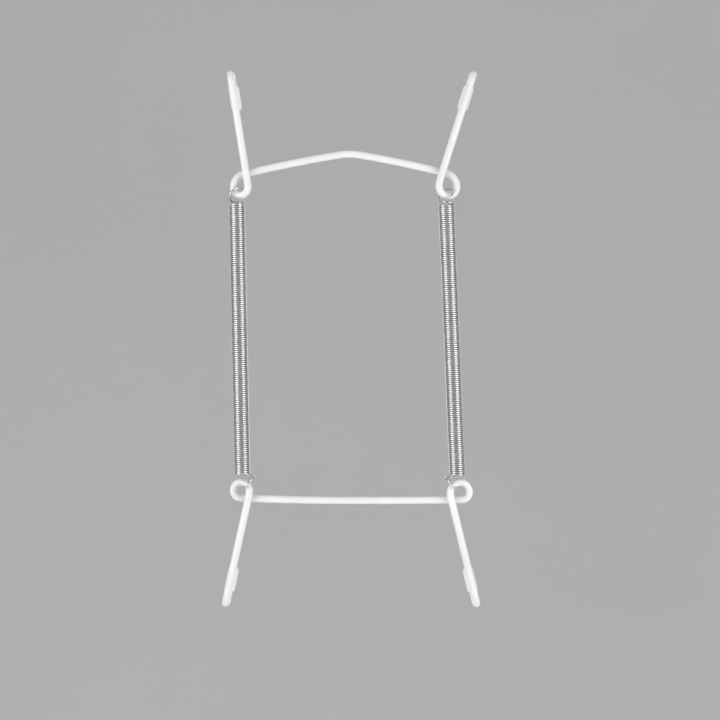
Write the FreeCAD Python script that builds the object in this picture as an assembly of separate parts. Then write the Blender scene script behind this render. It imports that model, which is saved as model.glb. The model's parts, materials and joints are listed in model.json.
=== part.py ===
import FreeCAD, Part
import math
import os
from collections import namedtuple
from FreeCAD import Placement, Rotation, Vector

# Wire plate hanger: two bent wire yokes drawn together by two close-wound extension springs.
# Millimetres. +Z is up, +Y points from the wall to the plate, and the origin is the point
# under the peak of the upper crossbar where the wall nail carries the hanger.

# Coated yoke wire
WIRE_DIA = 2.25
CROSSING_GAP = 0.12

# Closed eye at each end of a crossbar, bent round past its own wire
UPPER_LEFT_EYE_WIDTH = 4.6
UPPER_RIGHT_EYE_WIDTH = 5.6
LOWER_LEFT_EYE_WIDTH = 5.1
LOWER_RIGHT_EYE_WIDTH = 6.0
UPPER_LEFT_EYE_DROP = 11.85
UPPER_RIGHT_EYE_DROP = 12.1
LOWER_EYE_DROP = 4.7
UPPER_BAR_BEND_RADIUS = 4.3
LOWER_BAR_BEND_RADIUS = 2.3

# Eye centres, measured outward from the nail
UPPER_LEFT_EYE_X = 33.8
UPPER_RIGHT_EYE_X = 30.9
LOWER_LEFT_EYE_X = 33.6
LOWER_RIGHT_EYE_X = 34.6

# Crossbars: the upper one rises to a peak, the lower one only bows
PEAK_SLOPE = 9.5
PEAK_BEND_RADIUS = 20.0
LOWER_BAR_SLOPE = 0.0

# Legs lean outward by the angle that each one was bent to
UPPER_LEFT_SPLAY = 9.0
UPPER_RIGHT_SPLAY = 17.5
LOWER_LEFT_SPLAY = 12.2
LOWER_RIGHT_SPLAY = 13.8
LEG_BEND_RADIUS = 7.0
LEG_REACH = 39.1

# Hooks that grip the plate's rim
HOOK_BEND_RADIUS = 2.6
HOOK_CLEAR_GAP = 6.5
HOOK_RETURN = 7.0

# Soft caps on the hook ends
TIP_LENGTH = 6.2
TIP_WALL = 0.5
TIP_FIT = 0.03

# Extension springs
SPRING_WIRE = 0.64
SPRING_OD = 5.1
SPRING_BODY = 84.7
LOOP_RADIUS = 2.5
LOOP_SWEEP = 300.0
LEFT_TOP_LOOP_YAW = 40.0
RIGHT_TOP_LOOP_YAW = 220.0
TOP_LOOP_LEAN = 35.0
TOP_LOOP_LIFT = 15.0
TOP_LOOP_RISE = 0.1
LEFT_TOP_LOOP_OUTWARD = 1.3
LEFT_TOP_LOOP_FORWARD = 0.7
RIGHT_TOP_LOOP_OUTWARD = -0.7
RIGHT_TOP_LOOP_FORWARD = -0.4
BOTTOM_TURN_RADIUS = 3.0
BOTTOM_LOOP_LIFT = 8.6
BOTTOM_LOOP_GAP = 0.2
BOTTOM_LOOP_ROLL = 45.0

OUTWARD = Vector(1, 0, 0)
TO_PLATE = Vector(0, 1, 0)
UP = Vector(0, 0, 1)
ORIGIN = Vector(0, 0, 0)

Eye = namedtuple("Eye", "centre radius inward")

wire_radius = WIRE_DIA / 2
crossing_step = WIRE_DIA + CROSSING_GAP
coil_radius = (SPRING_OD - SPRING_WIRE) / 2


def sine(degrees):
    return math.sin(math.radians(degrees))


def cosine(degrees):
    return math.cos(math.radians(degrees))


class WireForm:
    """A round wire formed from straight runs and tangent bends, one after the other."""

    def __init__(self, start, heading, radius):
        self.end = start
        self.heading = heading
        self.radius = radius
        self.runs = []

    def straight(self, length):
        self.runs.append(Part.makeCylinder(self.radius, length, self.end, self.heading))
        self.end = self.end + self.heading * length

    def bend(self, radius, degrees, toward):
        """Bend about a centre that lies square to the wire, in the direction toward."""
        if degrees == 0:
            return
        centre = self.end + toward * radius
        axis = self.heading.cross(toward)
        rim = Part.Circle(self.end, self.heading, self.radius).toShape()
        section = Part.Face(Part.Wire(rim))
        self.runs.append(section.revolve(centre, axis, degrees))
        turn = Rotation(axis, degrees)
        self.end = centre + turn.multVec(self.end - centre)
        self.heading = turn.multVec(self.heading)


def one_solid(shapes):
    joined = shapes[0].multiFuse(shapes[1:]).removeSplitter()
    return joined.Solids[0]


def down_from(heading):
    """The direction square to a heading that lies in the upright plane and points down."""
    return Vector(heading.z, 0, -heading.x)


def slope_at_eye(start, slope, bend_radius, outer_side):
    """Slope at which a bowed half bar meets the bend that takes it down into the eye."""
    end_slope = slope
    for _ in range(30):
        run = outer_side.x - bend_radius * (1 - sine(end_slope)) - start.x
        fall = start.z - outer_side.z - bend_radius * cosine(end_slope)
        end_slope = 2 * math.degrees(math.atan2(fall, run)) - slope
    return end_slope, run


def make_eye(eye_x, width, drop):
    """Eye whose closed end lies a drop below the inside of the bar, bent round by one crossing."""
    radius = math.hypot(width, crossing_step) / 2
    yaw = math.atan2(crossing_step, width)
    inward = Vector(-math.cos(yaw), -math.sin(yaw), 0)
    return Eye(Vector(eye_x, -crossing_step / 2, radius - drop), radius, inward)


def half_yoke(eye, drop, bar_slope, bar_bend, splay):
    """Right half of a yoke from its middle to the hook's end, with the hooks upward."""
    form = WireForm(UP * wire_radius, OUTWARD, wire_radius)
    outer_side = eye.centre - eye.inward * eye.radius

    form.bend(PEAK_BEND_RADIUS, bar_slope, down_from(form.heading))
    end_slope, run = slope_at_eye(form.end, bar_slope, bar_bend, outer_side)
    bow_radius = run / (sine(end_slope) - sine(bar_slope))
    form.bend(bow_radius, end_slope - bar_slope, down_from(form.heading))
    form.bend(bar_bend, 90 - end_slope, down_from(form.heading))
    form.bend(eye.radius, 180, eye.inward)
    form.bend(LEG_BEND_RADIUS, splay, OUTWARD)

    hook_top = LEG_REACH - drop
    rise = hook_top - form.end.z - (HOOK_BEND_RADIUS + wire_radius) * cosine(splay)
    form.straight(rise / cosine(splay))
    form.bend(HOOK_BEND_RADIUS, 90, TO_PLATE)
    form.straight(HOOK_CLEAR_GAP + WIRE_DIA - 2 * HOOK_BEND_RADIUS)
    form.bend(HOOK_BEND_RADIUS, 90, Vector(-sine(splay), 0, -cosine(splay)))
    form.straight(HOOK_RETURN)
    return form


def soft_tip(form):
    """Closed sleeve with a round end, pushed over the last stretch of a hook."""
    bore = wire_radius + TIP_FIT
    outer = bore + TIP_WALL
    sleeve = Part.makeCylinder(outer, TIP_LENGTH)
    dome = Part.makeSphere(outer)
    body = sleeve.fuse(dome)
    cap = body.cut(Part.makeCylinder(bore, TIP_LENGTH)).removeSplitter()
    cap.Placement = Placement(form.end + form.heading * TIP_FIT, Rotation(UP, -form.heading))
    return cap.Solids[0]


def mirror_side(shape, side):
    return shape.mirror(ORIGIN, OUTWARD) if side < 0 else shape


def extension_spring(top_loop_yaw):
    """Right-hand spring on its own axis, and the centres of its two end loops."""
    half = SPRING_BODY / 2
    end_turn = half - SPRING_WIRE / 2
    sleeve = Part.makeCylinder(SPRING_OD / 2, SPRING_BODY, UP * -half)
    bore = Part.makeCylinder(SPRING_OD / 2 - SPRING_WIRE, SPRING_BODY, UP * -half)

    across = Vector(sine(top_loop_yaw), cosine(top_loop_yaw), 0)
    along = Vector(-cosine(top_loop_yaw), sine(top_loop_yaw), 0)
    leaning = UP * cosine(TOP_LOOP_LEAN) - across * sine(TOP_LOOP_LEAN)
    top = WireForm(UP * end_turn - across * coil_radius, along, SPRING_WIRE / 2)
    over_coil = (coil_radius + LOOP_RADIUS * sine(TOP_LOOP_LEAN)) / 2 / cosine(TOP_LOOP_LIFT)
    top.bend(over_coil, 180, across * cosine(TOP_LOOP_LIFT) + UP * sine(TOP_LOOP_LIFT))
    top_centre = top.end + leaning * LOOP_RADIUS
    top.bend(LOOP_RADIUS, LOOP_SWEEP, leaning)

    bottom = WireForm(OUTWARD * coil_radius - UP * end_turn, TO_PLATE, SPRING_WIRE / 2)
    lift = BOTTOM_LOOP_LIFT
    bottom.bend(BOTTOM_TURN_RADIUS, 180, OUTWARD * -cosine(lift) - UP * sine(lift))
    rolled = OUTWARD * sine(BOTTOM_LOOP_ROLL) - UP * cosine(BOTTOM_LOOP_ROLL)
    bottom_centre = bottom.end + rolled * LOOP_RADIUS
    bottom.bend(LOOP_RADIUS, LOOP_SWEEP, rolled)

    body = one_solid([sleeve.cut(bore)] + top.runs + bottom.runs)
    return body, top_centre, bottom_centre


def hang_spring(spring, top_centre, bottom_centre, upper_seat, lower_seat):
    """Set a spring so that its loops lie in the eyes that they are hooked through."""
    turn = Rotation(top_centre - bottom_centre, upper_seat - lower_seat)
    shape = spring.copy()
    shape.Placement = Placement(upper_seat - turn.multVec(top_centre), turn)
    return shape


def upper_loop_seat(eye, shift):
    """Centre of a loop that leans in an eye's closed end, shifted outward and forward in it."""
    outward, forward = shift
    return eye.centre - UP * eye.radius + Vector(outward, forward, TOP_LOOP_RISE)


def lower_loop_seat(eye):
    """Centre of a loop that pulls on the bar side of an eye's closed end."""
    slack = LOOP_RADIUS - SPRING_WIRE / 2 - wire_radius - BOTTOM_LOOP_GAP
    around = eye.inward * sine(BOTTOM_LOOP_ROLL) - UP * cosine(BOTTOM_LOOP_ROLL)
    return eye.centre + around * (eye.radius + slack)


def on_side(point, side):
    return Vector(point.x * side, point.y, point.z)


def build():
    sides = {"left": -1, "right": 1}
    springs = {
        "left": extension_spring(LEFT_TOP_LOOP_YAW),
        "right": extension_spring(RIGHT_TOP_LOOP_YAW),
    }
    loop_shift = {
        "left": (LEFT_TOP_LOOP_OUTWARD, LEFT_TOP_LOOP_FORWARD),
        "right": (RIGHT_TOP_LOOP_OUTWARD, RIGHT_TOP_LOOP_FORWARD),
    }
    upper_drop = {"left": UPPER_LEFT_EYE_DROP, "right": UPPER_RIGHT_EYE_DROP}
    upper_eyes = {
        "left": make_eye(UPPER_LEFT_EYE_X, UPPER_LEFT_EYE_WIDTH, UPPER_LEFT_EYE_DROP),
        "right": make_eye(UPPER_RIGHT_EYE_X, UPPER_RIGHT_EYE_WIDTH, UPPER_RIGHT_EYE_DROP),
    }
    lower_eyes = {
        "left": make_eye(LOWER_LEFT_EYE_X, LOWER_LEFT_EYE_WIDTH, LOWER_EYE_DROP),
        "right": make_eye(LOWER_RIGHT_EYE_X, LOWER_RIGHT_EYE_WIDTH, LOWER_EYE_DROP),
    }
    upper_splay = {"left": UPPER_LEFT_SPLAY, "right": UPPER_RIGHT_SPLAY}
    lower_splay = {"left": LOWER_LEFT_SPLAY, "right": LOWER_RIGHT_SPLAY}

    parts = {}
    upper_runs = []
    lower_runs = []
    upper_seats = {}
    lower_seats = {}
    for name, side in sides.items():
        upper = half_yoke(
            upper_eyes[name], upper_drop[name], PEAK_SLOPE, UPPER_BAR_BEND_RADIUS, upper_splay[name])
        lower = half_yoke(
            lower_eyes[name], LOWER_EYE_DROP, LOWER_BAR_SLOPE, LOWER_BAR_BEND_RADIUS, lower_splay[name])
        upper_runs += [mirror_side(run, side) for run in upper.runs]
        lower_runs += [mirror_side(run, side).mirror(ORIGIN, UP) for run in lower.runs]
        parts["tip_upper_" + name] = mirror_side(soft_tip(upper), side)
        parts["tip_lower_" + name] = mirror_side(soft_tip(lower), side).mirror(ORIGIN, UP)
        upper_seats[name] = upper_loop_seat(upper_eyes[name], loop_shift[name])
        flipped = lower_loop_seat(lower_eyes[name])
        lower_seats[name] = Vector(flipped.x, flipped.y, -flipped.z)
    parts["upper_yoke"] = one_solid(upper_runs)
    parts["lower_yoke"] = one_solid(lower_runs)

    # The lower yoke hangs at the level, and with the tilt, that its two springs give it
    drop = {}
    for name in sides:
        spring, top_centre, bottom_centre = springs[name]
        loop_drop = top_centre.z - bottom_centre.z
        drop[name] = lower_seats[name].z - upper_seats[name].z + loop_drop
    span = lower_seats["left"].x + lower_seats["right"].x
    tilt = math.degrees(math.atan2(drop["right"] - drop["left"], span))
    middle = drop["left"] + (drop["right"] - drop["left"]) * lower_seats["left"].x / span
    hang = Placement(UP * -middle, Rotation(TO_PLATE, tilt))
    for name in ("lower_yoke", "tip_lower_left", "tip_lower_right"):
        parts[name].Placement = hang.multiply(parts[name].Placement)

    for name, side in sides.items():
        lower_seat = on_side(hang.multVec(on_side(lower_seats[name], side)), side)
        hung = hang_spring(*springs[name], upper_seats[name], lower_seat)
        parts[name + "_spring"] = mirror_side(hung, side)
    return parts


os.makedirs("parts", exist_ok=True)
for node, shape in build().items():
    shape.exportStep("parts/" + node + ".step")
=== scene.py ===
import json
import math

import bpy
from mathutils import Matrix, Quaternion, Vector


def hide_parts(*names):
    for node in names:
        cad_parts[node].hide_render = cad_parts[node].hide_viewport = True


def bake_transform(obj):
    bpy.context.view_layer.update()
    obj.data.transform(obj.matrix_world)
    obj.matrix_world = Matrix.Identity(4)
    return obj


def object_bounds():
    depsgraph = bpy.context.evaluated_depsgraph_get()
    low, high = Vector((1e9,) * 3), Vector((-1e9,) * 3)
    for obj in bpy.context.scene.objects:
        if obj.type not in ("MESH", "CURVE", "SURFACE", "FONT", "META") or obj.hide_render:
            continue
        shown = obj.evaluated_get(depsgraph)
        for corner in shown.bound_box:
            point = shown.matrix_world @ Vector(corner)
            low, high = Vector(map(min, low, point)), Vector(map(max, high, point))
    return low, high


# Looks of the wire plate hanger: coated yokes and soft tips on the fixed frame, and the two
# extension springs wound turn by turn. Lengths are in metres unless a name ends in _MM.

MM = 0.001
HALF_TURN = 180.0
QUARTER_TURN = 90.0

# Spring wire and coil, as the solids have them
SPRING_WIRE_MM = 0.64
COIL_RADIUS_MM = 2.23
SPRING_BODY_MM = 84.7
LOOP_RADIUS_MM = 2.5
LOOP_SWEEP = 300.0
TOP_LOOP_YAW = {"left": 40.0, "right": 220.0}
TOP_LOOP_LEAN = 35.0
TOP_LOOP_LIFT = 15.0
BOTTOM_TURN_RADIUS_MM = 3.0
BOTTOM_LOOP_LIFT = 8.6
BOTTOM_LOOP_ROLL = 45.0

# Centres of the end loops in the eyes, measured outward from the nail
LOOP_SEATS_MM = {
    "left": ((35.1, -0.485, -11.75), (31.2394, -2.2777, -101.5046)),
    "right": ((30.2, -1.585, -12.0), (31.9252, -2.245, -101.7546)),
}
SIDES = {"left": -1, "right": 1}

# Fineness of the wound wire, and the line left between its turns
TURN_LINE_MM = 0.02
POINTS_PER_TURN = 32
DEGREES_PER_BEND_STEP = 6.0
WIRE_SIDES = 10
SHARP_ANGLE = 50.0

# Darkest and lightest tone of each finish
COATING_TONES = ((0.78, 0.78, 0.765), (0.86, 0.86, 0.85))
VINYL_TONES = ((0.77, 0.77, 0.745), (0.84, 0.84, 0.82))
STEEL_TONES = ((0.58, 0.59, 0.585), (0.68, 0.69, 0.68))
STAGE_TONES = ((0.88, 0.885, 0.89), (0.91, 0.915, 0.92))

# Range of a noise value that a finish spreads over its colours and roughness
NOISE_LOW = 0.3
NOISE_HIGH = 0.7

# Stage: a pale floor, clear of the lower hooks at full stretch, that curves up into a backdrop
FLOOR_GAP = 0.40
FLOOR_RADIUS = 0.55
COVE_RADIUS = 1.0
WALL_HEIGHT = 0.5
COVE_STEPS = 24
COVE_SIDES = 96

# Camera: straight on from the wall side, at a distance where the frame spans the width below
FRAME_WIDTH = 0.22507
FRAME_CENTRE = (0.00344, 0.0, -0.06327)
LENS = 100.0
SENSOR = 36.0

# Lights: a pair of softboxes level with the part in front of it, a weaker pair behind it,
# and a broad panel overhead
LIGHT_DISTANCE = 0.7
LIGHT_HEIGHT = -0.06
LIGHT_SIZE = (0.50, 0.60)
FRONT_LIGHT_AZIMUTH = 52.0
FRONT_LIGHT_WATTS = {"left": 3.45, "right": 3.4}
REAR_LIGHT_AZIMUTH = 170.0
REAR_LIGHT_WATTS = {"left": 0.75, "right": 0.75}
TOP_LIGHT_HEIGHT = 0.8
TOP_LIGHT_SIZE = (0.9, 0.9)
TOP_LIGHT_WATTS = 2.0
WORLD_COLOUR = (0.80, 0.81, 0.82, 1.0)
WORLD_STRENGTH = 0.22

OUTWARD = Vector((1, 0, 0))
TO_PLATE = Vector((0, 1, 0))
UP = Vector((0, 0, 1))


def sine(degrees):
    return math.sin(math.radians(degrees))


def cosine(degrees):
    return math.cos(math.radians(degrees))


class WirePath:
    """Centre line of a wire that is bent step by step, as points and a heading."""

    def __init__(self, start, heading):
        self.points = [start]
        self.heading = heading

    def bend(self, radius, degrees, toward):
        centre = self.points[-1] + toward * radius
        axis = self.heading.cross(toward)
        arm = self.points[-1] - centre
        steps = math.ceil(degrees / DEGREES_PER_BEND_STEP)
        for step in range(1, steps + 1):
            turn = Quaternion(axis, math.radians(degrees * step / steps))
            self.points.append(centre + turn @ arm)
        self.heading = turn @ self.heading
        return centre


def top_loop(end_turn, yaw):
    """From the coil's last turn across its end, then round the upper loop, which leans back."""
    across = Vector((sine(yaw), cosine(yaw), 0))
    along = Vector((-cosine(yaw), sine(yaw), 0))
    leaning = UP * cosine(TOP_LOOP_LEAN) - across * sine(TOP_LOOP_LEAN)
    path = WirePath(UP * end_turn - across * COIL_RADIUS_MM, along)
    over_coil = (COIL_RADIUS_MM + LOOP_RADIUS_MM * sine(TOP_LOOP_LEAN)) / 2 / cosine(TOP_LOOP_LIFT)
    path.bend(over_coil, HALF_TURN, across * cosine(TOP_LOOP_LIFT) + UP * sine(TOP_LOOP_LIFT))
    centre = path.bend(LOOP_RADIUS_MM, LOOP_SWEEP, leaning)
    return path.points, centre


def bottom_loop(end_turn):
    """From the coil's first turn across the axis, then round the lower loop."""
    path = WirePath(OUTWARD * COIL_RADIUS_MM - UP * end_turn, TO_PLATE)
    lift = BOTTOM_LOOP_LIFT
    path.bend(BOTTOM_TURN_RADIUS_MM, HALF_TURN, OUTWARD * -cosine(lift) - UP * sine(lift))
    rolled = OUTWARD * sine(BOTTOM_LOOP_ROLL) - UP * cosine(BOTTOM_LOOP_ROLL)
    centre = path.bend(LOOP_RADIUS_MM, LOOP_SWEEP, rolled)
    return path.points, centre


def close_turns(start, end):
    """Left-hand turns, each touching the next, from the bottom loop's wire to the top loop's."""
    rise = end.z - start.z
    part_turn = (math.atan2(start.y, start.x) - math.atan2(end.y, end.x)) / math.tau % 1
    turns = math.floor(rise / SPRING_WIRE_MM - part_turn) + part_turn
    steps = round(turns * POINTS_PER_TURN)
    first = math.atan2(start.y, start.x)
    points = []
    for step in range(1, steps):
        share = step / steps
        angle = first - share * turns * math.tau
        around = OUTWARD * math.cos(angle) + TO_PLATE * math.sin(angle)
        points.append(around * COIL_RADIUS_MM + UP * (start.z + share * rise))
    return points


def spring_line(side):
    """One spring's whole centre line, hung between its two eyes, and its coil's two ends."""
    end_turn = (SPRING_BODY_MM - SPRING_WIRE_MM) / 2
    top, top_centre = top_loop(end_turn, TOP_LOOP_YAW[side])
    bottom, bottom_centre = bottom_loop(end_turn)
    line = bottom[::-1] + close_turns(bottom[0], top[0]) + top
    upper_seat, lower_seat = (Vector(seat) for seat in LOOP_SEATS_MM[side])
    turn = (top_centre - bottom_centre).rotation_difference(upper_seat - lower_seat)

    def hang(point):
        hung = upper_seat + turn @ (point - top_centre)
        return Vector((hung.x * SIDES[side], hung.y, hung.z)) * MM

    coil_ends = hang(UP * end_turn), hang(UP * -end_turn)
    return [hang(point) for point in line], coil_ends


def swept_wire(name, line, radius):
    """Closed mesh of a round wire along a line of points."""
    rings = []
    last = len(line) - 1
    normal = (line[1] - line[0]).orthogonal().normalized()
    tangent = (line[1] - line[0]).normalized()
    for index, point in enumerate(line):
        ahead = (line[min(index + 1, last)] - line[max(index - 1, 0)]).normalized()
        normal = tangent.rotation_difference(ahead) @ normal
        normal = (normal - ahead * normal.dot(ahead)).normalized()
        tangent = ahead
        binormal = ahead.cross(normal)
        for corner in range(WIRE_SIDES):
            angle = math.tau * corner / WIRE_SIDES
            rings.append(point + (normal * math.cos(angle) + binormal * math.sin(angle)) * radius)
    faces = []
    for index in range(last):
        low = index * WIRE_SIDES
        for corner in range(WIRE_SIDES):
            after = (corner + 1) % WIRE_SIDES
            faces.append((low + corner, low + after, low + WIRE_SIDES + after, low + WIRE_SIDES + corner))
    faces.append(tuple(reversed(range(WIRE_SIDES))))
    faces.append(tuple(range(last * WIRE_SIDES, (last + 1) * WIRE_SIDES)))
    mesh = bpy.data.meshes.new(name)
    mesh.from_pydata(rings, [], faces)
    mesh.shade_smooth()
    mesh.set_sharp_from_angle(angle=math.radians(SHARP_ANGLE))
    piece = bpy.data.objects.new(name, mesh)
    bpy.context.scene.collection.objects.link(piece)
    return piece


class Finish:
    """A node material on one principled shader, with noise at several scales."""

    def __init__(self, name):
        self.material = bpy.data.materials.new(name)
        self.material.use_nodes = True
        self.tree = self.material.node_tree
        self.shader = self.tree.nodes["Principled BSDF"]
        self.coords = self.tree.nodes.new("ShaderNodeTexCoord").outputs["Object"]

    def set(self, **values):
        for socket, value in values.items():
            self.shader.inputs[socket.replace("_", " ")].default_value = value

    def noise(self, scale, detail=3.0, stretch=(1, 1, 1)):
        mapping = self.tree.nodes.new("ShaderNodeMapping")
        mapping.inputs["Scale"].default_value = stretch
        texture = self.tree.nodes.new("ShaderNodeTexNoise")
        texture.inputs["Scale"].default_value = scale
        texture.inputs["Detail"].default_value = detail
        self.tree.links.new(self.coords, mapping.inputs["Vector"])
        self.tree.links.new(mapping.outputs["Vector"], texture.inputs["Vector"])
        return texture.outputs["Fac"]

    def ramp(self, source, low, high):
        node = self.tree.nodes.new("ShaderNodeValToRGB")
        node.color_ramp.elements[0].position = NOISE_LOW
        node.color_ramp.elements[0].color = (*low, 1)
        node.color_ramp.elements[1].position = NOISE_HIGH
        node.color_ramp.elements[1].color = (*high, 1)
        self.tree.links.new(source, node.inputs["Fac"])
        return node.outputs["Color"]

    def colour(self, source):
        self.tree.links.new(source, self.shader.inputs["Base Color"])

    def roughness(self, source, low, high):
        node = self.tree.nodes.new("ShaderNodeMapRange")
        node.inputs["From Min"].default_value = NOISE_LOW
        node.inputs["From Max"].default_value = NOISE_HIGH
        node.inputs["To Min"].default_value = low
        node.inputs["To Max"].default_value = high
        self.tree.links.new(source, node.inputs["Value"])
        self.tree.links.new(node.outputs["Result"], self.shader.inputs["Roughness"])

    def bump(self, source, depth, strength):
        node = self.tree.nodes.new("ShaderNodeBump")
        node.inputs["Distance"].default_value = depth
        node.inputs["Strength"].default_value = strength
        self.tree.links.new(source, node.inputs["Height"])
        self.tree.links.new(node.outputs["Normal"], self.shader.inputs["Normal"])


def coated_wire():
    """Satin white coating: faint pooling along the wire and a fine orange peel."""
    finish = Finish("coated_wire")
    finish.colour(finish.ramp(finish.noise(scale=70, detail=4.0), *COATING_TONES))
    finish.roughness(finish.noise(scale=420), low=0.30, high=0.44)
    finish.bump(finish.noise(scale=1400, detail=2.0), depth=0.00012, strength=0.25)
    finish.set(Coat_Weight=0.25, Coat_Roughness=0.22)
    return finish.material


def soft_vinyl():
    """Matt white cap, a little warmer than the wire, with a soft dipped skin."""
    finish = Finish("soft_vinyl")
    finish.colour(finish.ramp(finish.noise(scale=260), *VINYL_TONES))
    finish.roughness(finish.noise(scale=900), low=0.50, high=0.64)
    finish.bump(finish.noise(scale=2600, detail=2.0), depth=0.0001, strength=0.3)
    finish.set(Specular_IOR_Level=0.4)
    return finish.material


def spring_steel():
    """Bright plated wire: slight differences from turn to turn and fine drawing marks."""
    finish = Finish("spring_steel")
    tone = finish.noise(scale=700, detail=4.0, stretch=(0.4, 0.4, 1.6))
    finish.colour(finish.ramp(tone, *STEEL_TONES))
    finish.roughness(finish.noise(scale=1800), low=0.24, high=0.32)
    finish.bump(finish.noise(scale=5200, detail=2.0), depth=0.00002, strength=0.1)
    finish.set(Metallic=1.0)
    return finish.material


def pale_stage():
    """Plain matt pale grey, a step below the white wire, with a faint unevenness."""
    finish = Finish("pale_stage")
    finish.colour(finish.ramp(finish.noise(scale=3, detail=2.0), *STAGE_TONES))
    finish.roughness(finish.noise(scale=30, detail=2.0), low=0.85, high=0.95)
    return finish.material


def dress_frame(nodes, record):
    """Give every solid of the frame its finish, by the slot that the record names."""
    finishes = {"coated_wire": coated_wire(), "soft_vinyl": soft_vinyl(), "spring_steel": spring_steel()}
    for row in record["subparts"]:
        mesh = nodes[row["node"]].data
        mesh.materials.clear()
        mesh.materials.append(finishes[row["material_slot"]])
    return finishes


def wind_springs(finish):
    """Wind both springs as swept wire, in place of the spring solids, hung between their eyes."""
    for side in SIDES:
        line, (coil_top, coil_bottom) = spring_line(side)
        piece = swept_wire(side + "_coil", line, (SPRING_WIRE_MM - TURN_LINE_MM) / 2 * MM)
        piece.data.materials.append(finish)
        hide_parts(side + "_spring")
        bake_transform(piece)


def cove(lowest):
    """Floor under the object that curves up into a round backdrop, open above."""
    floor = lowest - FLOOR_GAP
    profile = [(FLOOR_RADIUS, floor)]
    for step in range(1, COVE_STEPS + 1):
        angle = QUARTER_TURN * step / COVE_STEPS
        radius = FLOOR_RADIUS + COVE_RADIUS * sine(angle)
        profile.append((radius, floor + COVE_RADIUS * (1 - cosine(angle))))
    profile.append((FLOOR_RADIUS + COVE_RADIUS, floor + COVE_RADIUS + WALL_HEIGHT))
    corners = [(0.0, 0.0, floor)]
    faces = []
    for radius, height in profile:
        for side in range(COVE_SIDES):
            angle = math.tau * side / COVE_SIDES
            corners.append((radius * math.cos(angle), radius * math.sin(angle), height))
    for side in range(COVE_SIDES):
        faces.append((0, 1 + side, 1 + (side + 1) % COVE_SIDES))
    for ring in range(len(profile) - 1):
        low = 1 + ring * COVE_SIDES
        for side in range(COVE_SIDES):
            after = (side + 1) % COVE_SIDES
            faces.append((low + side, low + COVE_SIDES + side, low + COVE_SIDES + after, low + after))
    mesh = bpy.data.meshes.new("cove")
    mesh.from_pydata(corners, [], faces)
    mesh.shade_smooth()
    mesh.materials.append(pale_stage())
    stage = bpy.data.objects.new("cove", mesh)
    bpy.context.scene.collection.objects.link(stage)


def aim(thing, target):
    thing.rotation_euler = (Vector(target) - thing.location).to_track_quat("-Z", "Y").to_euler()


def softbox(name, location, target, size, watts):
    """Area light that the camera doesn't see."""
    lamp = bpy.data.lights.new(name, "AREA")
    lamp.shape = "RECTANGLE"
    lamp.size, lamp.size_y = size
    lamp.energy = watts
    light = bpy.data.objects.new(name, lamp)
    light.location = location
    light.visible_camera = False
    bpy.context.scene.collection.objects.link(light)
    aim(light, target)


def light_studio():
    """Set the softboxes and a dim, even world."""
    pairs = {
        "front": (FRONT_LIGHT_AZIMUTH, FRONT_LIGHT_WATTS),
        "rear": (REAR_LIGHT_AZIMUTH, REAR_LIGHT_WATTS),
    }
    for pair, (azimuth, watts) in pairs.items():
        for side, sign in SIDES.items():
            out = LIGHT_DISTANCE * sine(azimuth) * sign
            depth = -LIGHT_DISTANCE * cosine(azimuth)
            level = (0.0, 0.0, LIGHT_HEIGHT)
            softbox(f"softbox_{pair}_{side}", (out, depth, LIGHT_HEIGHT), level, LIGHT_SIZE, watts[side])
    overhead = (0.0, 0.0, TOP_LIGHT_HEIGHT)
    softbox("softbox_top", overhead, FRAME_CENTRE, TOP_LIGHT_SIZE, TOP_LIGHT_WATTS)
    world = bpy.data.worlds.new("studio")
    world.use_nodes = True
    background = world.node_tree.nodes["Background"]
    background.inputs["Color"].default_value = WORLD_COLOUR
    background.inputs["Strength"].default_value = WORLD_STRENGTH
    bpy.context.scene.world = world


def place_camera():
    """Look level along +Y, from where the frame is as wide as set above."""
    data = bpy.data.cameras.new("camera")
    data.lens = LENS
    data.sensor_width = SENSOR
    camera = bpy.data.objects.new("camera", data)
    distance = FRAME_WIDTH * LENS / SENSOR
    camera.location = Vector(FRAME_CENTRE) - TO_PLATE * distance
    bpy.context.scene.collection.objects.link(camera)
    aim(camera, FRAME_CENTRE)
    bpy.context.scene.camera = camera


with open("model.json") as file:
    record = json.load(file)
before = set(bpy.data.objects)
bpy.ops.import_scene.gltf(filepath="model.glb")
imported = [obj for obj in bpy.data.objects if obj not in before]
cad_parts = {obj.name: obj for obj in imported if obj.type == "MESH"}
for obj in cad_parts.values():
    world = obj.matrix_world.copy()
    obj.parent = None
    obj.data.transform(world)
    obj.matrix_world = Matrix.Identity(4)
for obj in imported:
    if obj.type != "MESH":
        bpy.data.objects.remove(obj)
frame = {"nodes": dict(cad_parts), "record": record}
cad_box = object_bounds()
finishes = dress_frame(frame["nodes"], frame["record"])
wind_springs(finishes["spring_steel"])
cove(cad_box[0].z)
light_studio()
place_camera()
bpy.context.scene.view_settings.view_transform = "Standard"
